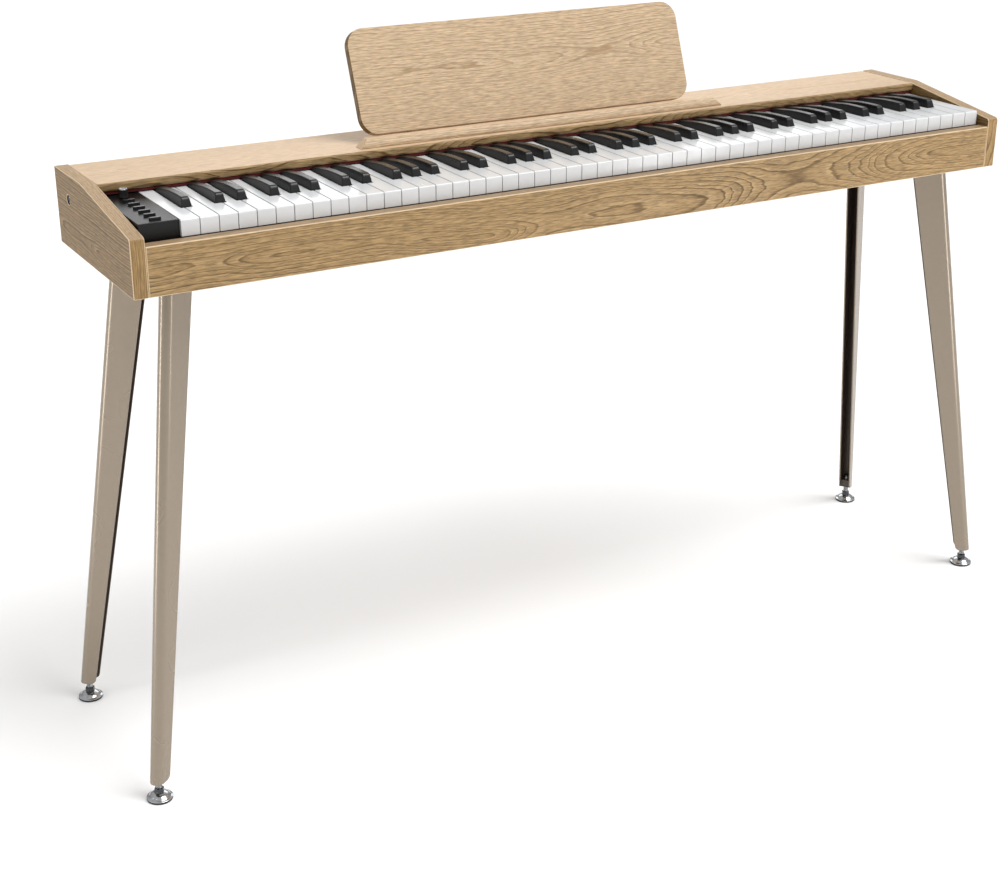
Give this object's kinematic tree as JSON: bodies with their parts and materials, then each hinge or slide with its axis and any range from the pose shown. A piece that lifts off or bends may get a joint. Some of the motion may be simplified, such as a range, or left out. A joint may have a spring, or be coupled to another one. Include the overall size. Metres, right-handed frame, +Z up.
{
  "type": "digital piano on stand",
  "caption": "Slim wood-cased digital piano with a full keyboard, a leaning music rest, a corner control block and splayed channel-section metal legs on levelling feet.",
  "frame": {"origin": "on the floor, under the middle of the piano", "axes": "+Z up, +X along the keyboard towards the treble, front (the player's side) towards -Y"},
  "size_m": [1.3888, 0.3198, 0.8918],
  "materials": {
    "oak": "satin",
    "oak_light": "satin",
    "champagne_paint": "satin",
    "foot_chrome": "polished",
    "pin_steel": "satin",
    "frame_plastic": "matte",
    "key_white": "gloss",
    "key_black": "satin",
    "black_plastic": "satin",
    "knob_silver": "satin",
    "red_felt": "matte",
    "grey_felt": "matte",
    "circuit_board": "satin",
    "speaker_cone": "matte"
  },
  "bodies": {
    "case": {"end_panel_left": "oak", "end_panel_right": "oak", "case_screw_left": "black_plastic", "case_screw_right": "black_plastic", "top_board": "oak_light", "front_rail": "oak", "bottom_board": "oak", "back_panel": "oak", "jack_panel": "black_plastic", "speaker_left": "speaker_cone", "speaker_right": "speaker_cone", "music_rest_ledge": "oak_light", "key_frame": "frame_plastic", "key_stop_felt": "grey_felt", "key_sensor_board": "circuit_board", "nameboard_felt": "red_felt", "control_housing": "black_plastic", "main_circuit_board": "circuit_board", "leg_front_left": "champagne_paint", "leg_front_right": "champagne_paint", "leg_back_left": "champagne_paint", "leg_back_right": "champagne_paint"},
    "music_rest": {"music_rest_board": "oak", "music_rest_pin_left": "pin_steel", "music_rest_pin_right": "pin_steel"},
    "white_keys_1": {"white_keys_bank_1": "key_white"},
    "black_keys_1": {"black_keys_bank_1": "key_black"},
    "white_keys_2": {"white_keys_bank_2": "key_white"},
    "black_keys_2": {"black_keys_bank_2": "key_black"},
    "white_keys_3": {"white_keys_bank_3": "key_white"},
    "black_keys_3": {"black_keys_bank_3": "key_black"},
    "white_keys_4": {"white_keys_bank_4": "key_white"},
    "black_keys_4": {"black_keys_bank_4": "key_black"},
    "white_keys_5": {"white_keys_bank_5": "key_white"},
    "black_keys_5": {"black_keys_bank_5": "key_black"},
    "white_keys_6": {"white_keys_bank_6": "key_white"},
    "black_keys_6": {"black_keys_bank_6": "key_black"},
    "key_c4": {"key_c4": "key_white"},
    "key_c4_sharp": {"key_c4_sharp": "key_black"},
    "key_d4": {"key_d4": "key_white"},
    "key_d4_sharp": {"key_d4_sharp": "key_black"},
    "key_e4": {"key_e4": "key_white"},
    "key_f4": {"key_f4": "key_white"},
    "key_f4_sharp": {"key_f4_sharp": "key_black"},
    "key_g4": {"key_g4": "key_white"},
    "key_g4_sharp": {"key_g4_sharp": "key_black"},
    "key_a4": {"key_a4": "key_white"},
    "key_a4_sharp": {"key_a4_sharp": "key_black"},
    "key_b4": {"key_b4": "key_white"},
    "volume_knob": {"volume_knob": "knob_silver"},
    "control_button_1": {"control_button_1": "black_plastic"},
    "control_button_2": {"control_button_2": "black_plastic"},
    "control_button_3": {"control_button_3": "black_plastic"},
    "control_button_4": {"control_button_4": "black_plastic"},
    "control_button_5": {"control_button_5": "black_plastic"},
    "control_button_6": {"control_button_6": "black_plastic"},
    "foot_front_left": {"foot_front_left": "foot_chrome"},
    "foot_front_right": {"foot_front_right": "foot_chrome"},
    "foot_back_left": {"foot_back_left": "foot_chrome"},
    "foot_back_right": {"foot_back_right": "foot_chrome"}
  },
  "joints": [
    {"name": "music_rest_lift_off", "type": "slide", "parent": "case", "child": "music_rest", "axis": [0, 0.3584, 0.9336], "range_m": [0, 0.03]},
    {"name": "white_keys_1_press", "type": "hinge", "parent": "case", "child": "white_keys_1", "pos_m": [-0.48175, 0.086, 0.723], "axis": [1, 0, 0], "range_deg": [0, 2.8], "stiffness_Nm_per_rad": 9, "springref_deg": -14.32},
    {"name": "black_keys_1_press", "type": "hinge", "parent": "case", "child": "black_keys_1", "pos_m": [-0.48175, 0.086, 0.723], "axis": [1, 0, 0], "range_deg": [0, 3.3], "stiffness_Nm_per_rad": 3.6, "springref_deg": -14.32},
    {"name": "white_keys_2_press", "type": "hinge", "parent": "case", "child": "white_keys_2", "pos_m": [-0.29375, 0.086, 0.723], "axis": [1, 0, 0], "range_deg": [0, 2.8], "stiffness_Nm_per_rad": 7, "springref_deg": -14.32},
    {"name": "black_keys_2_press", "type": "hinge", "parent": "case", "child": "black_keys_2", "pos_m": [-0.29375, 0.086, 0.723], "axis": [1, 0, 0], "range_deg": [0, 3.3], "stiffness_Nm_per_rad": 3, "springref_deg": -14.32},
    {"name": "white_keys_3_press", "type": "hinge", "parent": "case", "child": "white_keys_3", "pos_m": [-0.12925, 0.086, 0.723], "axis": [1, 0, 0], "range_deg": [0, 2.8], "stiffness_Nm_per_rad": 7, "springref_deg": -14.32},
    {"name": "black_keys_3_press", "type": "hinge", "parent": "case", "child": "black_keys_3", "pos_m": [-0.12925, 0.086, 0.723], "axis": [1, 0, 0], "range_deg": [0, 3.3], "stiffness_Nm_per_rad": 3, "springref_deg": -14.32},
    {"name": "white_keys_4_press", "type": "hinge", "parent": "case", "child": "white_keys_4", "pos_m": [0.19975, 0.086, 0.723], "axis": [1, 0, 0], "range_deg": [0, 2.8], "stiffness_Nm_per_rad": 7, "springref_deg": -14.32},
    {"name": "black_keys_4_press", "type": "hinge", "parent": "case", "child": "black_keys_4", "pos_m": [0.19975, 0.086, 0.723], "axis": [1, 0, 0], "range_deg": [0, 3.3], "stiffness_Nm_per_rad": 3, "springref_deg": -14.32},
    {"name": "white_keys_5_press", "type": "hinge", "parent": "case", "child": "white_keys_5", "pos_m": [0.36425, 0.086, 0.723], "axis": [1, 0, 0], "range_deg": [0, 2.8], "stiffness_Nm_per_rad": 7, "springref_deg": -14.32},
    {"name": "black_keys_5_press", "type": "hinge", "parent": "case", "child": "black_keys_5", "pos_m": [0.36425, 0.086, 0.723], "axis": [1, 0, 0], "range_deg": [0, 3.3], "stiffness_Nm_per_rad": 3, "springref_deg": -14.32},
    {"name": "white_keys_6_press", "type": "hinge", "parent": "case", "child": "white_keys_6", "pos_m": [0.5405, 0.086, 0.723], "axis": [1, 0, 0], "range_deg": [0, 2.8], "stiffness_Nm_per_rad": 8, "springref_deg": -14.32},
    {"name": "black_keys_6_press", "type": "hinge", "parent": "case", "child": "black_keys_6", "pos_m": [0.5405, 0.086, 0.723], "axis": [1, 0, 0], "range_deg": [0, 3.3], "stiffness_Nm_per_rad": 3, "springref_deg": -14.32},
    {"name": "key_c4_press", "type": "hinge", "parent": "case", "child": "key_c4", "pos_m": [-0.03525, 0.086, 0.723], "axis": [1, 0, 0], "range_deg": [0, 2.8], "stiffness_Nm_per_rad": 1, "springref_deg": -14.32},
    {"name": "key_c4_sharp_press", "type": "hinge", "parent": "case", "child": "key_c4_sharp", "pos_m": [-0.0255, 0.086, 0.723], "axis": [1, 0, 0], "range_deg": [0, 3.3], "stiffness_Nm_per_rad": 0.6, "springref_deg": -14.32},
    {"name": "key_d4_press", "type": "hinge", "parent": "case", "child": "key_d4", "pos_m": [-0.01175, 0.086, 0.723], "axis": [1, 0, 0], "range_deg": [0, 2.8], "stiffness_Nm_per_rad": 1, "springref_deg": -14.32},
    {"name": "key_d4_sharp_press", "type": "hinge", "parent": "case", "child": "key_d4_sharp", "pos_m": [0.002, 0.086, 0.723], "axis": [1, 0, 0], "range_deg": [0, 3.3], "stiffness_Nm_per_rad": 0.6, "springref_deg": -14.32},
    {"name": "key_e4_press", "type": "hinge", "parent": "case", "child": "key_e4", "pos_m": [0.01175, 0.086, 0.723], "axis": [1, 0, 0], "range_deg": [0, 2.8], "stiffness_Nm_per_rad": 1, "springref_deg": -14.32},
    {"name": "key_f4_press", "type": "hinge", "parent": "case", "child": "key_f4", "pos_m": [0.03525, 0.086, 0.723], "axis": [1, 0, 0], "range_deg": [0, 2.8], "stiffness_Nm_per_rad": 1, "springref_deg": -14.32},
    {"name": "key_f4_sharp_press", "type": "hinge", "parent": "case", "child": "key_f4_sharp", "pos_m": [0.044, 0.086, 0.723], "axis": [1, 0, 0], "range_deg": [0, 3.3], "stiffness_Nm_per_rad": 0.6, "springref_deg": -14.32},
    {"name": "key_g4_press", "type": "hinge", "parent": "case", "child": "key_g4", "pos_m": [0.05875, 0.086, 0.723], "axis": [1, 0, 0], "range_deg": [0, 2.8], "stiffness_Nm_per_rad": 1, "springref_deg": -14.32},
    {"name": "key_g4_sharp_press", "type": "hinge", "parent": "case", "child": "key_g4_sharp", "pos_m": [0.0705, 0.086, 0.723], "axis": [1, 0, 0], "range_deg": [0, 3.3], "stiffness_Nm_per_rad": 0.6, "springref_deg": -14.32},
    {"name": "key_a4_press", "type": "hinge", "parent": "case", "child": "key_a4", "pos_m": [0.08225, 0.086, 0.723], "axis": [1, 0, 0], "range_deg": [0, 2.8], "stiffness_Nm_per_rad": 1, "springref_deg": -14.32},
    {"name": "key_a4_sharp_press", "type": "hinge", "parent": "case", "child": "key_a4_sharp", "pos_m": [0.097, 0.086, 0.723], "axis": [1, 0, 0], "range_deg": [0, 3.3], "stiffness_Nm_per_rad": 0.6, "springref_deg": -14.32},
    {"name": "key_b4_press", "type": "hinge", "parent": "case", "child": "key_b4", "pos_m": [0.10575, 0.086, 0.723], "axis": [1, 0, 0], "range_deg": [0, 2.8], "stiffness_Nm_per_rad": 1, "springref_deg": -14.32},
    {"name": "volume_turn", "type": "hinge", "parent": "case", "child": "volume_knob", "pos_m": [-0.612, 0.008, 0.735], "axis": [0, 0, 1], "range_deg": [-150, 150]},
    {"name": "button_1_press", "type": "slide", "parent": "case", "child": "control_button_1", "axis": [0, 0, -1], "range_m": [0, 0.0012], "stiffness_N_per_m": 200, "springref_m": -0.004},
    {"name": "button_2_press", "type": "slide", "parent": "case", "child": "control_button_2", "axis": [0, 0, -1], "range_m": [0, 0.0012], "stiffness_N_per_m": 200, "springref_m": -0.004},
    {"name": "button_3_press", "type": "slide", "parent": "case", "child": "control_button_3", "axis": [0, 0, -1], "range_m": [0, 0.0012], "stiffness_N_per_m": 200, "springref_m": -0.004},
    {"name": "button_4_press", "type": "slide", "parent": "case", "child": "control_button_4", "axis": [0, 0, -1], "range_m": [0, 0.0012], "stiffness_N_per_m": 200, "springref_m": -0.004},
    {"name": "button_5_press", "type": "slide", "parent": "case", "child": "control_button_5", "axis": [0, 0, -1], "range_m": [0, 0.0012], "stiffness_N_per_m": 200, "springref_m": -0.004},
    {"name": "button_6_press", "type": "slide", "parent": "case", "child": "control_button_6", "axis": [0, 0, -1], "range_m": [0, 0.0012], "stiffness_N_per_m": 200, "springref_m": -0.004},
    {"name": "foot_front_left_level", "type": "slide", "parent": "case", "child": "foot_front_left", "axis": [0, 0, -1], "range_m": [-0.006, 0.01]},
    {"name": "foot_front_right_level", "type": "slide", "parent": "case", "child": "foot_front_right", "axis": [0, 0, -1], "range_m": [-0.006, 0.01]},
    {"name": "foot_back_left_level", "type": "slide", "parent": "case", "child": "foot_back_left", "axis": [0, 0, -1], "range_m": [-0.006, 0.01]},
    {"name": "foot_back_right_level", "type": "slide", "parent": "case", "child": "foot_back_right", "axis": [0, 0, -1], "range_m": [-0.006, 0.01]}
  ]
}
